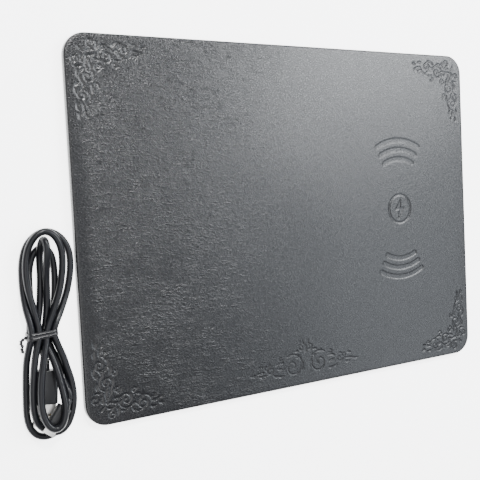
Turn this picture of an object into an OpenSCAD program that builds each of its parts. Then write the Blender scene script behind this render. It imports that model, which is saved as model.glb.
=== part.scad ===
// Wireless charging mouse pad: a leather-covered board with a charging coil in
// its right half, and its USB cable folded into a hank beside it.
// Millimetres. Origin at the centre of the underside, X along the long side,
// Y across it towards the edge with the socket, Z up.

/* [Pad] */
// Length of the pad along X
pad_l = 300; // [240:5:360]
// Width of the pad along Y
pad_w = 220; // [180:5:270]
// Radius of the corners, seen from above
corner_r = 13; // [10:0.5:20]
// Thickness of the leather cover
cover_t = 0.7; // [0.5:0.05:0.9]
// Thickness of the stiff core board
core_t = 3.7; // [3.5:0.1:5]
// Thickness of the non-slip base sheet
base_t = 0.6; // [0.4:0.1:1]
// Rounding of the cover's upper edge
edge_r = 1.2; // [1:0.1:1.6]
// Width of the leather that is turned under the board
hem_w = 9; // [6:1:14]
// Step from the pad's edge in to the base sheet
base_inset = 4; // [3:0.5:6]

/* [Charging zone] */
// Distance from the pad's right edge in to the coil's centre
zone_inset = 64; // [45:1:90]
// Distance of the coil's centre above the pad's middle line
zone_rise = 1; // [-10:1:10]
// Outer diameter that the winding may fill
coil_d = 44; // [36:1:50]
// Diameter of the hole in the winding
coil_hole = 20; // [14:1:24]
// Diameter of the coil's bundled wire
wire_d = 1.1; // [0.9:0.1:1.3]
// Diameter of the two leads of the coil
lead_d = 0.8; // [0.6:0.1:0.9]
// Thickness of the ferrite disc
ferrite_t = 0.8; // [0.8:0.1:1]
// Rim of ferrite outside the winding
ferrite_rim = 2; // [1:0.5:4]
// Depth of the marks pressed into the cover
mark_depth = 0.25; // [0.1:0.05:0.4]
// Width of the pressed arcs
arc_w = 3.2; // [2:0.2:4]

/* [Electronics] */
// Distance of the socket's centre to the right of the pad's middle
port_x = 55; // [-60:5:80]
// Length of the circuit board along X
board_l = 34; // [32:1:44]
// Width of the circuit board along Y
board_w = 26; // [25:1:34]
// Thickness of the circuit board
board_t = 0.8; // [0.6:0.1:1]
// Outside width of the socket's shell
socket_w = 7.5; // [7.3:0.1:8.6]
// Outside height of the socket's shell
socket_h = 2.35; // [2.3:0.05:2.6]
// Length of the socket's shell
socket_len = 6; // [5.5:0.1:7]

/* [Cable] */
// Diameter of the cable
cable_d = 3.8; // [3:0.1:4]
// Gap between the pad's left edge and the hank
cable_gap = 2.7; // [2:0.1:20]
// Distance of the tie above the pad's lower edge
tie_rise = 57; // [57:1:120]
// Width of the twist tie's two wraps, side by side
tie_w = 3.2; // [2:0.2:5]
// Plastic of the USB plug's grip on each side of its shell
grip_side = 1; // [0.7:0.05:1.6]
// Plastic of the USB plug's grip above and below its shell
grip_cheek = 0.85; // [0.7:0.05:1.2]
// Length of the USB plug's grip
grip_len = 18.5; // [16:0.5:20]
// Length of the USB plug's shell outside the grip
shell_out = 11.5; // [11:0.5:12.5]
// Plastic of the small plug's grip on each side of its shell
small_side = 0.6; // [0.5:0.05:1.6]
// Plastic of the small plug's grip above and below its shell
small_cheek = 1.6; // [1.2:0.05:1.9]

/* [Hidden] */
$fn = 48;
eps = 0.5;

// Levels through the pad
core_z = base_t;
core_top = base_t + core_t;
pad_t = core_top + cover_t;
hem_top = base_t + cover_t;
glue_gap = 0.05;
fit_gap = 0.1;

// Charging zone
zone_x = pad_l / 2 - zone_inset;
zone_y = zone_rise;
turn_gap = 0.1;
pitch = wire_d + turn_gap;
turns = floor(((coil_d - coil_hole) / 2 - wire_d) / pitch);
coil_r0 = coil_hole / 2 + wire_d / 2;
coil_r1 = coil_r0 + turns * pitch;
coil_z = core_top - fit_gap - wire_d / 2;
ferrite_r = coil_r1 + wire_d / 2 + ferrite_rim;
adhesive_t = 0.2;
ferrite_top = coil_z - wire_d / 2 - adhesive_t;
ferrite_z = ferrite_top - ferrite_t;
slot_w = 3;
slot_from = 3;
lead_shift = 0.6;
outer_lead_y = 2.4;
sensor_d = 1.2;
sensor_x = 5;
sensor_wire_d = 0.4;
sensor_wires = [0.3, 0.9];

// Marks in the cover, about the coil's centre
arc_radii = [27, 33.5, 40];
arc_shift = 8;
arc_half = 28;
ring_r = 10.5;
ring_w = 1.4;
bolt = [[1.6, 7.6], [-4.4, -0.9], [-0.6, -0.9], [-1.6, -7.6], [4.4, 0.9], [0.6, 0.9]];

// Electronics
film_t = 0.1;
film_z = hem_top;
board_z = film_z + film_t;
board_top = board_z + board_t;
board_set_back = 3.3;
board_y = pad_w / 2 - board_set_back - board_w / 2;
pocket_gap = 0.5;
port_z = base_t + core_t / 2;
port_set_back = 0.5;
socket_wall = 0.25;
socket_cut = 0.9;
bezel_w = socket_w + 2.9;
bezel_h = socket_h + 0.75;
bezel_r = 0.7;
flange_w = socket_w + 4.5;
flange_h = socket_h + 1.15;
flange_t = 1.2;
lead_entry_x = port_x + 8;
lead_entry_y = board_y - board_w / 2;
lead_angle = atan2(lead_entry_y - zone_y, lead_entry_x - zone_x);
lead_reach = norm([lead_entry_x - zone_x, lead_entry_y - zone_y]) + 2;
channel_w = 6;
channel_z = base_t + 1.3;

// Electronics on the board: [x, y] from the board's centre, and [length, width, height]
controller_at = [-9, 1];
controller_size = [5, 5, 0.85];
bridge_at = [8, 1];
bridge_step = 2.2;
bridge_size = [3.3, 3.3, 0.8];
resonant_at = [-8, -8.5];
resonant_step = 4;
resonant_size = [1.6, 3.2, 1.6];
input_at = [9.5, 8.5];
input_size = [3.2, 2.5, 1.7];
choke_at = [0, 1];
choke_size = [4, 4, 1.2];
choke_d = 3.6;
choke_h = 1.8;
resistor_step = 5.4;
resistor_x = -13.5;
resistors_at = [for (k = [0:5]) each
                [[resistor_x + resistor_step * k, -4.6],
                 if (k < 2 || k > 3) [resistor_x + resistor_step * k, 5.6]]];
resistor_size = [1.6, 0.8, 0.45];
led_at = [14.5, 10.5];
led_size = [1.6, 0.8, 0.6];

// Socket: insulator block with a tongue, and contacts under the tongue
tongue_w = 4.2;
tongue_t = 0.6;
tongue_len = 3.6;
tongue_rise = 0.15;
block_len = 1.6;
socket_pin_w = 0.3;
socket_pin_t = 0.12;
socket_pin_pitch = 0.65;
socket_pin_back = 0.3;

// Cable: the hank's own frame is at the middle of the tie, on the table
tie_t = 0.8;
bundle_w = 4 * cable_d + 0.4;
bundle_h = 2 * cable_d + 0.2;
usb_shell_w = 12;
usb_shell_h = 4.5;
usb_shell_wall = 0.3;
usb_shell_in = 6.7;
grip_w = usb_shell_w + 2 * grip_side;
grip_t = usb_shell_h + 2 * grip_cheek;
grip_round = 2;
neck_len = 6;
neck_d = 5;
neck_taper = 0.8;
window = [2.5, 2.2];
window_x = 2.9;
window_from = 5.2;
usb_tongue_t = 1.9;
usb_tongue_short = 0.6;
usb_pin = [1, 8.5, 0.25];
usb_pin_pitch = 2.3;
usb_pin_set_back = 1.6;
lobe_wall = 6.5;
upper_lobe = [4, 42.4];
upper_r = 15;
lower_lobe = [1.5, -45.6];
lower_r = grip_w / 2 + lobe_wall;
hank_x = -pad_l / 2 - cable_gap - upper_lobe[0] - upper_r;
hank_y = -pad_w / 2 + tie_rise;
hank_side = [[-70, 0], [70, 0], [70, 7], [50, 10], [35, 10], [5, 8.6], [-5, 8.6], [-30, 13],
             [-50, 14], [-70, 8]];
plug_at = [0.9, -20, grip_t / 2 + fit_gap];
plug_turn = -5;
room_gap = 0.4;

// Small plug, lying across the end of the USB plug's shell
small_shell_w = 6.85;
small_shell_h = 1.8;
small_shell_wall = 0.25;
small_shell_in = 3;
small_shell_out = 5;
small_cut = 0.8;
small_grip_w = small_shell_w + 2 * small_side;
small_grip_t = small_shell_h + 2 * small_cheek;
small_grip_len = 12;
small_round = 1.6;
small_neck_len = 4.5;
small_neck_d = 4.6;
small_turn = -38;
small_at = [8.9, -40.4, plug_at[2] + grip_t / 2 + small_grip_t / 2 + fit_gap];
small_tongue_w = 5.2;
small_tongue_t = 0.4;
small_tongue_short = 0.4;
small_pin = [0.3, 4, 0.1];
small_pin_pitch = 0.65;
small_pin_set_back = 1;
latch = [0.6, 1.2, 0.25];
latch_x = 1.9;
latch_set_back = 1.4;

// Cable: points along the two stretches between the hank and the plugs
usb_lead_route = [[-0.4, -8, 3], [0.5, -11, 3.1], [1.42, -14.02, 3.2]];
micro_lead_route = [[6.4, -12, 2], [8.8, -17, 2], [10.2, -22, 2.4], [11, -26, 4],
                    [11.4, -30, 6.6], [11.9, -33.5, 8.5], [11.67, -36.85, 8.9]];
tail_route = [[-7.6, -0.7, 3], [-10.6, -3.4, 2.6], [-12.2, -8, 1.6]];
tail_d = 1.6;
tail_knot_d = 1.9;

// ---- shared shapes ----

// Flat rectangle with round corners, centred
module rounded_rect(l, w, r) {
    square([l - 2 * r, w], center = true);
    square([l, w - 2 * r], center = true);
    for (x = [-1, 1], y = [-1, 1])
        translate([x * (l / 2 - r), y * (w / 2 - r)]) circle(r);
}

// Half section of a slab's edge: upright wall with a round upper corner
module edge_section(reach, t, e) {
    square([reach - e, t]);
    square([reach, t - e]);
    translate([reach - e, t - e]) circle(e);
}

// Slab with round corners of radius r and an upper edge rounded by e
module slab(l, w, t, r, e) {
    linear_extrude(t) square([l - 2 * r, w - 2 * r], center = true);
    for (k = [0:3]) {
        run = k % 2 == 0 ? w - 2 * r : l - 2 * r;
        out = k % 2 == 0 ? l / 2 - r : w / 2 - r;
        rotate([0, 0, 90 * k]) translate([out, run / 2, 0]) rotate([90, 0, 0])
            linear_extrude(run) edge_section(r, t, e);
    }
    for (k = [0:3]) {
        x = (k == 0 || k == 3 ? 1 : -1) * (l / 2 - r);
        y = (k < 2 ? 1 : -1) * (w / 2 - r);
        translate([x, y, 0]) rotate([0, 0, 90 * k])
            rotate_extrude(angle = 90) edge_section(r, t, e);
    }
}

// Outline of the small connector: a flat trapezoid with its wide side up
module small_outline(w, h, cut) {
    polygon([[-w / 2, h / 2], [w / 2, h / 2], [w / 2, -h / 10], [w / 2 - cut, -h / 2],
             [-w / 2 + cut, -h / 2], [-w / 2, -h / 10]]);
}

function unit(v) = v / norm(v);
function heading(p, i) = unit(p[min(i + 1, len(p) - 1)] - p[max(i - 1, 0)]);
function ring_points(p, i, r, n) =
    let (t = heading(p, i), a = unit(cross(t, [0, 0, 1])), b = cross(a, t))
    [for (k = [0:n - 1]) p[i] + r * (cos(360 * k / n) * a + sin(360 * k / n) * b)];

// Tube with n sides along the points p
module tube(p, r, n) {
    last = len(p) - 1;
    points = [for (i = [0:last]) each ring_points(p, i, r, n)];
    sides = [for (i = [0:last - 1], k = [0:n - 1])
        [i * n + k, i * n + (k + 1) % n, (i + 1) * n + (k + 1) % n, (i + 1) * n + k]];
    start = [[for (k = [0:n - 1]) n - 1 - k]];
    end = [[for (k = [0:n - 1]) last * n + k]];
    polyhedron(points, concat(sides, start, end));
}

module in_zone() {
    translate([zone_x, zone_y, 0]) children();
}

// X' runs from the coil's centre to the circuit board
module in_coil_frame() {
    in_zone() rotate([0, 0, lead_angle]) children();
}

module on_board(at) {
    translate([port_x + at[0], board_y + at[1], board_top]) children();
}

// Extrudes from the socket's mouth back into the pad
module from_port(start, depth) {
    translate([port_x, pad_w / 2 - start, port_z]) rotate([90, 0, 0])
        linear_extrude(depth) children();
}

// Block of a size [length, width, height], standing centred on the board
module chip(size) {
    translate([-size[0] / 2, -size[1] / 2, 0]) cube(size);
}

module in_hank() {
    translate([hank_x, hank_y, 0]) children();
}

// -Y points out of the plug; the origin is the back of its grip
module in_plug() {
    in_hank() translate(plug_at) rotate([0, 0, plug_turn]) children();
}

module in_small_plug() {
    in_hank() translate(small_at) rotate([0, 0, small_turn]) children();
}

// Extrudes along the plug, from start to start + depth in front of the grip's back
module along_plug(start, depth) {
    translate([0, -start, 0]) rotate([90, 0, 0]) linear_extrude(depth) children();
}

// ---- pad ----

module pressed_arc(r) {
    rotate([0, 0, 90 - arc_half]) rotate_extrude(angle = 2 * arc_half)
        translate([r - arc_w / 2, 0]) square([arc_w, mark_depth + eps]);
}

module pressed_marks() {
    in_zone() translate([0, 0, pad_t - mark_depth]) {
        for (r = arc_radii, side = [0, 180])
            rotate([0, 0, side]) translate([0, arc_shift, 0]) pressed_arc(r);
        difference() {
            cylinder(r = ring_r, h = mark_depth + eps);
            translate([0, 0, -eps]) cylinder(r = ring_r - ring_w, h = mark_depth + 3 * eps);
        }
        linear_extrude(mark_depth + eps) polygon(bolt);
    }
}

module top_cover() color("#26272b") difference() {
    translate([0, 0, base_t]) slab(pad_l, pad_w, core_t + cover_t, corner_r, edge_r);
    translate([0, 0, hem_top])
        slab(pad_l - 2 * cover_t, pad_w - 2 * cover_t, core_t - cover_t, corner_r - cover_t,
             edge_r - cover_t);
    translate([0, 0, base_t - eps]) linear_extrude(cover_t + 2 * eps)
        rounded_rect(pad_l - 2 * hem_w, pad_w - 2 * hem_w, max(corner_r - hem_w, 1));
    from_port(-eps, cover_t + 2 * eps)
        rounded_rect(bezel_w + fit_gap, bezel_h + fit_gap, bezel_r);
    translate([port_x - flange_w / 2 - fit_gap, pad_w / 2 - hem_w - eps, base_t - eps])
        cube([flange_w + 2 * fit_gap, hem_w + eps - cover_t, cover_t + 2 * eps]);
    pressed_marks();
}

module core_blank() {
    side = cover_t + glue_gap;
    translate([0, 0, hem_top])
        slab(pad_l - 2 * side, pad_w - 2 * side, core_t - cover_t, corner_r - side,
             edge_r - cover_t);
    translate([0, 0, base_t]) linear_extrude(cover_t)
        rounded_rect(pad_l - 2 * (hem_w + glue_gap), pad_w - 2 * (hem_w + glue_gap),
                     max(corner_r - hem_w - glue_gap, 1));
}

module core_board() color("#b9a27c") difference() {
    core_blank();
    in_zone() translate([0, 0, ferrite_z]) cylinder(r = ferrite_r + fit_gap, h = core_t);
    in_coil_frame() translate([slot_from, -channel_w / 2, channel_z])
        cube([lead_reach + lead_d - slot_from, channel_w, core_t]);
    translate([port_x - board_l / 2 - pocket_gap, board_y - board_w / 2 - pocket_gap, film_z])
        cube([board_l + 2 * pocket_gap, board_w + 2 * pocket_gap, core_t]);
    translate([port_x - flange_w / 2 - fit_gap, board_y, film_z])
        cube([flange_w + 2 * fit_gap, pad_w, core_t]);
    translate([port_x - flange_w / 2 - fit_gap, pad_w / 2 - hem_w - eps, base_t - eps])
        cube([flange_w + 2 * fit_gap, pad_w, core_t]);
}

module base_sheet() color("#1c1c1e") linear_extrude(base_t)
    rounded_rect(pad_l - 2 * base_inset, pad_w - 2 * base_inset, corner_r - base_inset);

// A spiral of half turns: every second half is centred half a pitch further out
module transmit_coil() color("#b5713a") in_coil_frame() translate([0, 0, coil_z])
    for (k = [0:2 * turns - 1]) {
        side = k % 2;
        translate([side * pitch / 2, 0, 0]) rotate([0, 0, 180 * side])
            rotate_extrude(angle = 180)
                translate([coil_r0 + k * pitch / 2, 0]) circle(d = wire_d, $fn = 24);
    }

// Slot along X' for the inner lead, through a layer of thickness t
module lead_slot(t) {
    translate([slot_from, -slot_w / 2, -eps]) cube([ferrite_r, slot_w, t + 2 * eps]);
}

module coil_adhesive() color("#e8e4d4") in_coil_frame() translate([0, 0, ferrite_top])
    difference() {
        cylinder(r = coil_r1, h = adhesive_t);
        translate([0, 0, -eps]) cylinder(r = coil_r0 + wire_d, h = adhesive_t + 2 * eps);
        lead_slot(adhesive_t);
    }

module ferrite_shield() color("#3a3a3c") in_coil_frame() translate([0, 0, ferrite_z])
    difference() {
        cylinder(r = ferrite_r, h = ferrite_t);
        lead_slot(ferrite_t);
    }

// A round wire between two points, along one axis of the coil's frame
module wire(from, to, d) {
    run = to - from;
    long = norm(run);
    translate(from) rotate([0, acos(run[2] / long), atan2(run[1], run[0])])
        cylinder(d = d, h = long, $fn = 24);
}

module elbow(at, d) {
    translate(at) sphere(d = d, $fn = 24);
}

module coil_leads() color("#c98a4b") in_coil_frame() {
    low = board_top + lead_d / 2;
    inner = [coil_r0, -lead_shift, coil_z];
    inner_low = [coil_r0, -lead_shift, low];
    wire([coil_r0, 0, coil_z], inner, lead_d);
    elbow(inner, lead_d);
    wire(inner, inner_low, lead_d);
    elbow(inner_low, lead_d);
    wire(inner_low, [lead_reach, -lead_shift, low], lead_d);
    outer = [coil_r1, outer_lead_y, coil_z];
    outer_far = [lead_reach, outer_lead_y, coil_z];
    wire([coil_r1, 0, coil_z], outer, lead_d);
    elbow(outer, lead_d);
    wire(outer, outer_far, lead_d);
    elbow(outer_far, lead_d);
    wire(outer_far, [lead_reach, outer_lead_y, board_top], lead_d);
}

module temperature_sensor() color("#2f5d3a") in_coil_frame() {
    low = board_top + sensor_wire_d / 2;
    mid = (sensor_wires[0] + sensor_wires[1]) / 2;
    translate([sensor_x, mid, ferrite_top + sensor_d / 2]) sphere(d = sensor_d, $fn = 32);
    for (y = sensor_wires) {
        wire([sensor_x, y, ferrite_top + sensor_d / 2], [sensor_x, y, low], sensor_wire_d);
        elbow([sensor_x, y, low], sensor_wire_d);
        wire([sensor_x, y, low], [lead_reach, y, low], sensor_wire_d);
    }
}

// Sheet of thickness t in the board's outline, with the notch for the socket
module board_sheet(t) {
    linear_extrude(t) difference() {
        translate([port_x - board_l / 2, board_y - board_w / 2]) square([board_l, board_w]);
        translate([port_x - socket_w / 2 - fit_gap,
                   pad_w / 2 - port_set_back - socket_len - fit_gap])
            square([socket_w + 2 * fit_gap, socket_len + eps]);
    }
}

module insulating_film() color("#c9902f") translate([0, 0, film_z]) board_sheet(film_t);

module circuit_board() color("#1f5e3a") translate([0, 0, board_z]) board_sheet(board_t);

module controller_chip() color("#202022") on_board(controller_at) chip(controller_size);

module bridge_transistors() color("#2a2a2c")
    for (x = [-1, 1], y = [-1, 1])
        on_board(bridge_at + bridge_step * [x, y]) chip(bridge_size);

module resonant_capacitors() color("#c8a27a")
    for (k = [0:3]) on_board(resonant_at + [resonant_step * k, 0]) chip(resonant_size);

module input_capacitors() color("#b98f62")
    for (side = [-1, 1]) on_board([side * input_at[0], input_at[1]]) chip(input_size);

module input_choke() color("#4a4a4c") on_board(choke_at) {
    chip(choke_size);
    cylinder(d = choke_d, h = choke_h);
}

module chip_resistors() color("#303234")
    for (at = resistors_at) on_board(at) chip(resistor_size);

module status_led() color("#e9efe9") on_board(led_at) chip(led_size);

module usb_socket_shell() color("#c6c8cb") {
    from_port(port_set_back, socket_len - socket_wall) difference() {
        small_outline(socket_w, socket_h, socket_cut);
        small_outline(socket_w - 2 * socket_wall, socket_h - 2 * socket_wall, socket_cut);
    }
    from_port(port_set_back + socket_len - socket_wall, socket_wall)
        small_outline(socket_w, socket_h, socket_cut);
}

// The socket's insulator: a block at the back with a thin tongue towards the mouth
module usb_socket_tongue() color("#1d1d1f") {
    block_from = port_set_back + socket_len - socket_wall - block_len;
    pin_room = 5 * socket_pin_pitch;
    from_port(block_from, block_len) difference() {
        small_outline(socket_w - 2 * socket_wall - fit_gap, socket_h - 2 * socket_wall - fit_gap,
                      socket_cut);
        translate([-pin_room / 2, tongue_rise - tongue_t / 2 - 2 * socket_pin_t])
            square([pin_room, 2 * socket_pin_t]);
    }
    from_port(block_from - tongue_len, tongue_len)
        translate([-tongue_w / 2, tongue_rise - tongue_t / 2]) square([tongue_w, tongue_t]);
}

module usb_socket_contacts() color("#d9b45a")
    from_port(port_set_back + socket_len - socket_wall - block_len - tongue_len + socket_pin_back,
              block_len + tongue_len - socket_pin_back)
        for (k = [-2:2])
            translate([k * socket_pin_pitch - socket_pin_w / 2,
                       tongue_rise - tongue_t / 2 - socket_pin_t])
                square([socket_pin_w, socket_pin_t]);

module port_bezel() color("#151517") difference() {
    union() {
        from_port(0, edge_r) rounded_rect(bezel_w, bezel_h, bezel_r);
        from_port(edge_r, flange_t) rounded_rect(flange_w, flange_h, bezel_r);
    }
    from_port(-eps, edge_r + flange_t + 2 * eps)
        small_outline(socket_w + 2 * fit_gap, socket_h + 2 * fit_gap, socket_cut);
}

// ---- cable ----

// One lobe of the hank: a disc, and a taper from it to a little past the tied waist
module lobe(at, r) {
    past = -sign(at[1]) * eps;
    translate(at) cylinder(r = r, h = 20);
    linear_extrude(20)
        polygon([[-bundle_w / 2, past], [bundle_w / 2, past], at + [r, 0], at - [r, 0]]);
}

// Room in the lower lobe for the two plugs
module plug_room() {
    in_plug() translate([-grip_w / 2 - room_gap, -grip_len - shell_out - room_gap, -20])
        cube([grip_w + 2 * room_gap, grip_len + shell_out + 2 * room_gap, 40]);
    in_plug() translate([-neck_d / 2 - room_gap, 0, -20])
        cube([neck_d + 2 * room_gap, neck_len + room_gap, 40]);
    in_small_plug()
        translate([-small_grip_w / 2 - room_gap, -small_grip_len - small_shell_out - room_gap,
                   -small_grip_t / 2 - room_gap])
            cube([small_grip_w + 2 * room_gap,
                  small_grip_len + small_shell_out + small_neck_len + 2 * room_gap, 20]);
}

module cable_hank() color("#17181a") difference() {
    in_hank() difference() {
        intersection() {
            union() {
                lobe(upper_lobe, upper_r);
                lobe(lower_lobe, lower_r);
            }
            translate([-40, 0, 0]) rotate([90, 0, 90]) linear_extrude(80) polygon(hank_side);
        }
        difference() {
            translate([-20, -tie_w / 2, -eps]) cube([40, tie_w, 20]);
            translate([-bundle_w / 2, -tie_w / 2 - eps, tie_t])
                cube([bundle_w, tie_w + 2 * eps, bundle_h]);
        }
    }
    plug_room();
}

module usb_lead() color("#17181a") in_hank() tube(usb_lead_route, cable_d / 2, 8);

module micro_lead() color("#17181a") in_hank() tube(micro_lead_route, cable_d / 2, 8);

// Two flat wraps side by side, and the twisted ends that stick out at the left
module twist_tie() color("#1b1b1d") in_hank() {
    translate([0, tie_w / 2, tie_t + bundle_h / 2]) rotate([90, 0, 0]) linear_extrude(tie_w)
        difference() {
            square([bundle_w + 2 * tie_t, bundle_h + 2 * tie_t], center = true);
            square([bundle_w, bundle_h], center = true);
        }
    wire(tail_route[0], tail_route[1], tail_d);
    elbow(tail_route[1], tail_knot_d);
    wire(tail_route[1], tail_route[2], tail_d);
}

module usb_plug_grip() color("#1a1b1d") in_plug() difference() {
    union() {
        along_plug(0, grip_len) rounded_rect(grip_w, grip_t, grip_round);
        rotate([-90, 0, 0]) cylinder(d1 = neck_d, d2 = neck_d - neck_taper, h = neck_len);
    }
    along_plug(grip_len - usb_shell_in, usb_shell_in + eps)
        square([usb_shell_w + fit_gap, usb_shell_h + fit_gap], center = true);
}

module usb_plug_shell() color("#cfd1d4") in_plug() difference() {
    along_plug(grip_len - usb_shell_in, usb_shell_in + shell_out) difference() {
        square([usb_shell_w, usb_shell_h], center = true);
        square([usb_shell_w - 2 * usb_shell_wall, usb_shell_h - 2 * usb_shell_wall], center = true);
    }
    for (side = [-1, 1])
        translate([side * window_x - window[0] / 2, -grip_len - window_from - window[1],
                   -usb_shell_h])
            cube([window[0], window[1], 2 * usb_shell_h]);
}

// The insulator fills the shell's lower half, with its contacts on top
module usb_plug_tongue() color("#ececec") in_plug()
    along_plug(grip_len - usb_shell_in, usb_shell_in + shell_out - usb_tongue_short)
        translate([-usb_shell_w / 2 + usb_shell_wall + glue_gap, -usb_shell_h / 2 + usb_shell_wall])
            square([usb_shell_w - 2 * usb_shell_wall - 2 * glue_gap, usb_tongue_t]);

module usb_plug_contacts() color("#d9b45a") in_plug()
    for (k = [-1.5:1.5])
        translate([k * usb_pin_pitch - usb_pin[0] / 2, -grip_len - shell_out + usb_pin_set_back,
                   -usb_shell_h / 2 + usb_shell_wall + usb_tongue_t])
            cube(usb_pin);

module micro_plug_grip() color("#1a1b1d") in_small_plug() difference() {
    union() {
        along_plug(0, small_grip_len) rounded_rect(small_grip_w, small_grip_t, small_round);
        rotate([-90, 0, 0])
            cylinder(d1 = small_neck_d, d2 = small_neck_d - neck_taper, h = small_neck_len);
    }
    along_plug(small_grip_len - small_shell_in, small_shell_in + eps)
        square([small_shell_w + fit_gap, small_shell_h + fit_gap], center = true);
}

module micro_plug_shell() color("#cfd1d4") in_small_plug()
    along_plug(small_grip_len - small_shell_in, small_shell_in + small_shell_out) difference() {
        small_outline(small_shell_w, small_shell_h, small_cut);
        small_outline(small_shell_w - 2 * small_shell_wall, small_shell_h - 2 * small_shell_wall,
                      small_cut);
    }

// The insulator lies along the shell's wide side and leaves room for the socket's tongue
module micro_plug_tongue() color("#101012") in_small_plug()
    along_plug(small_grip_len - small_shell_in,
               small_shell_in + small_shell_out - small_tongue_short)
        translate([-small_tongue_w / 2, small_shell_h / 2 - small_shell_wall - small_tongue_t])
            square([small_tongue_w, small_tongue_t]);

module micro_plug_contacts() color("#d9b45a") in_small_plug()
    for (k = [-2:2])
        translate([k * small_pin_pitch - small_pin[0] / 2,
                   -small_grip_len - small_shell_out + small_pin_set_back,
                   small_shell_h / 2 - small_shell_wall - small_tongue_t - small_pin[2]])
            cube(small_pin);

module micro_plug_latches() color("#b9bcc0") in_small_plug()
    for (side = [-1, 1])
        translate([side * latch_x - latch[0] / 2,
                   -small_grip_len - small_shell_out + latch_set_back,
                   -small_shell_h / 2 - latch[2]])
            cube(latch);

top_cover();
core_board();
base_sheet();
transmit_coil();
coil_adhesive();
ferrite_shield();
coil_leads();
temperature_sensor();
insulating_film();
circuit_board();
controller_chip();
bridge_transistors();
resonant_capacitors();
input_capacitors();
input_choke();
chip_resistors();
status_led();
usb_socket_shell();
usb_socket_tongue();
usb_socket_contacts();
port_bezel();
cable_hank();
usb_lead();
micro_lead();
twist_tie();
usb_plug_grip();
usb_plug_shell();
usb_plug_tongue();
usb_plug_contacts();
micro_plug_grip();
micro_plug_shell();
micro_plug_tongue();
micro_plug_contacts();
micro_plug_latches();
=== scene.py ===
# %% [markdown]
# # A leather charging mat and its tied cable
# The object is a thin desk mat with a charging coil under its right half. Its USB cable lies
# beside it, folded into a hank. This lesson loads the measured parts, then models what they
# leave plain: the leather skin, the cable, its plugs and its tie. Blender's lengths are metres;
# sizes in the text are millimetres, turned into metres by MM.

# %% Load the measured parts
import math

import bmesh
import bpy
import numpy as np
from mathutils import Matrix, Vector, kdtree


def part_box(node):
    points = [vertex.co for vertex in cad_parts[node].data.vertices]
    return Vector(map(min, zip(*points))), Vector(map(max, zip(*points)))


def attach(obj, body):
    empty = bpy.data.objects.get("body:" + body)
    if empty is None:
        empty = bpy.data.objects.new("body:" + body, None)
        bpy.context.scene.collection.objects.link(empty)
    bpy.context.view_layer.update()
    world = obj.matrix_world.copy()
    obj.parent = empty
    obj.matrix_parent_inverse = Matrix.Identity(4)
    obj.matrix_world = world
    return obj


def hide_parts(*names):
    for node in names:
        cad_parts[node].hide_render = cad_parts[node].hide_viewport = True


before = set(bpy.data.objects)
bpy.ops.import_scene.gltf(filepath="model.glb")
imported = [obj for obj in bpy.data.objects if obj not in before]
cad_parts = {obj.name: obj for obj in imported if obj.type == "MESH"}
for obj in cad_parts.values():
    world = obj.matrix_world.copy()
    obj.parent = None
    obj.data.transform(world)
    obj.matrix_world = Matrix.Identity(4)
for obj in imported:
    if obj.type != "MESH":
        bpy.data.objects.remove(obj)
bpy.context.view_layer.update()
MM = 0.001

# %% [markdown]
# An operator of Blender works on everything that is selected, so each piece starts from an
# empty selection. These helpers are the few habits that the whole lesson repeats: start fresh,
# name a new piece, and select faces or edges by where they lie.

# %% Small habits
def start_fresh():
    if bpy.context.object and bpy.context.object.mode != "OBJECT":
        bpy.ops.object.mode_set(mode="OBJECT")
    bpy.ops.object.select_all(action="DESELECT")


def named(name):
    piece = bpy.context.object
    piece.name = name
    piece.data.name = name
    return piece


def select_where(piece, kind, test):
    bpy.ops.object.mode_set(mode="EDIT")
    bpy.ops.mesh.select_mode(type=kind)
    bpy.ops.mesh.select_all(action="DESELECT")
    cells = bmesh.from_edit_mesh(piece.data)
    things = {"VERT": cells.verts, "EDGE": cells.edges, "FACE": cells.faces}[kind]
    chosen = [thing for thing in things if test(thing)]
    for thing in chosen:
        thing.select_set(True)
    bmesh.update_edit_mesh(piece.data)
    return len(chosen)


def edge_along(edge, axis):
    run = edge.verts[0].co - edge.verts[1].co
    return abs(run[axis]) > 0.99 * run.length


def apply_modifiers(piece):
    bpy.context.view_layer.objects.active = piece
    for modifier in list(piece.modifiers):
        bpy.ops.object.modifier_apply(modifier=modifier.name)


def smooth(piece, degrees=35):
    start_fresh()
    piece.select_set(True)
    bpy.context.view_layer.objects.active = piece
    bpy.ops.object.shade_smooth_by_angle(angle=math.radians(degrees))


print("helpers are ready")

# %% [markdown]
# ## Camera
# The mat is seen from its left side and from well above, with a moderate lens. Three unit
# vectors say how the camera is turned: to its right, upwards, and backwards out of the view.

# %% Camera
CAMERA_PLACE = (-0.27996, 0.01757, 0.40892)
CAMERA_RIGHT = (0.86226, -0.04965, 0.50403)
CAMERA_UP = (0.07413, 0.99684, -0.02863)
CAMERA_BACK = (-0.50102, 0.06205, 0.86321)
LENS_MM = 56.68

start_fresh()
bpy.ops.object.camera_add(location=(0, 0, 0))
camera = bpy.context.object
turn = Matrix((CAMERA_RIGHT, CAMERA_UP, CAMERA_BACK)).transposed().to_4x4()
camera.matrix_world = Matrix.Translation(CAMERA_PLACE) @ turn
camera.data.lens = LENS_MM
camera.data.sensor_width = 36
bpy.context.scene.camera = camera
print("camera lens", LENS_MM, "mm")

# %% [markdown]
# ## The cable's route
# About a metre of 3.8 mm cable is folded to and fro and tied at its waist, so that it makes an
# upper and a lower lobe. All of it is one curve. It is written down pass by pass, as the
# cable runs: each pass goes from the waist round one lobe and back to the waist. The points are
# millimetres from the middle of the tie: across, along, and up from the table.

# %% The passes of the hank
CORD_D = 3.8
tie_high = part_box("twist_tie")[1]
TIE_HALF_ACROSS = 8.6
TIE_HALF_ALONG = 1.6
HANK = Vector((tie_high[0] - TIE_HALF_ACROSS * MM, tie_high[1] - TIE_HALF_ALONG * MM, 0))

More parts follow.
